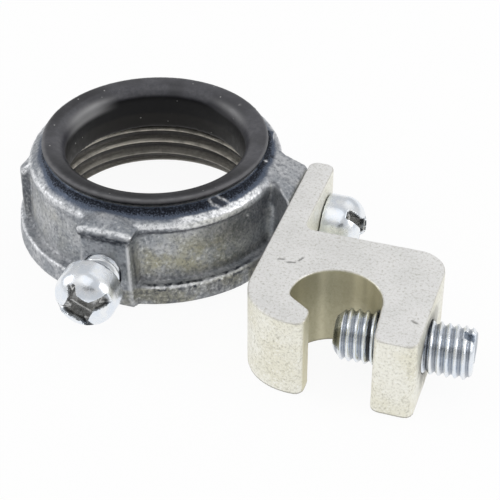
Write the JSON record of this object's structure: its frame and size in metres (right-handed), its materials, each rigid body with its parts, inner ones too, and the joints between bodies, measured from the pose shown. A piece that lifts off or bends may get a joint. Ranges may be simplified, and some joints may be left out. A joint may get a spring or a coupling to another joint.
{
  "type": "insulated grounding bushing",
  "caption": "Threaded metal ring for a conduit's end, with an insulating throat liner and a swivelling lay-in lug that clamps a ground wire beside it.",
  "frame": {"origin": "on the ring's axis at the ring's bottom face, where the conduit enters", "axes": "+Z along the ring's axis towards the liner's rim, +X towards the lug's boss, -Y towards the locking screw"},
  "size_m": [0.0631, 0.0446, 0.013],
  "materials": {
    "zinc_casting": "die-cast zinc, lightly worn",
    "liner_plastic": "black moulded plastic, half matt",
    "screw_steel": "bright zinc plated",
    "lug_tin_plate": "tin plated, finely speckled"
  },
  "bodies": {
    "ring": {"bushing_body": "zinc_casting", "insulating_liner": "liner_plastic"},
    "lock_screw": {"lock_screw": "screw_steel"},
    "lug_screw": {"lug_screw": "screw_steel"},
    "lug": {"ground_lug": "lug_tin_plate"},
    "clamp_screw": {"clamp_screw": "screw_steel"}
  },
  "joints": [
    {"name": "lock_screw_travel", "type": "slide", "parent": "ring", "child": "lock_screw", "axis": [0, -1, 0], "range_m": [-0.0024, 0.004]},
    {"name": "lug_screw_travel", "type": "slide", "parent": "ring", "child": "lug_screw", "axis": [1, 0, 0], "range_m": [0, 0.004]},
    {"name": "lug_swivel", "type": "hinge", "parent": "ring", "child": "lug", "pos_m": [0.0207, 0, 0.0045], "axis": [1, 0, 0], "continuous": true},
    {"name": "clamp_screw_travel", "type": "slide", "parent": "lug", "child": "clamp_screw", "axis": [0.9976, 0.0698, 0], "range_m": [-0.0036, 0.006]}
  ]
}
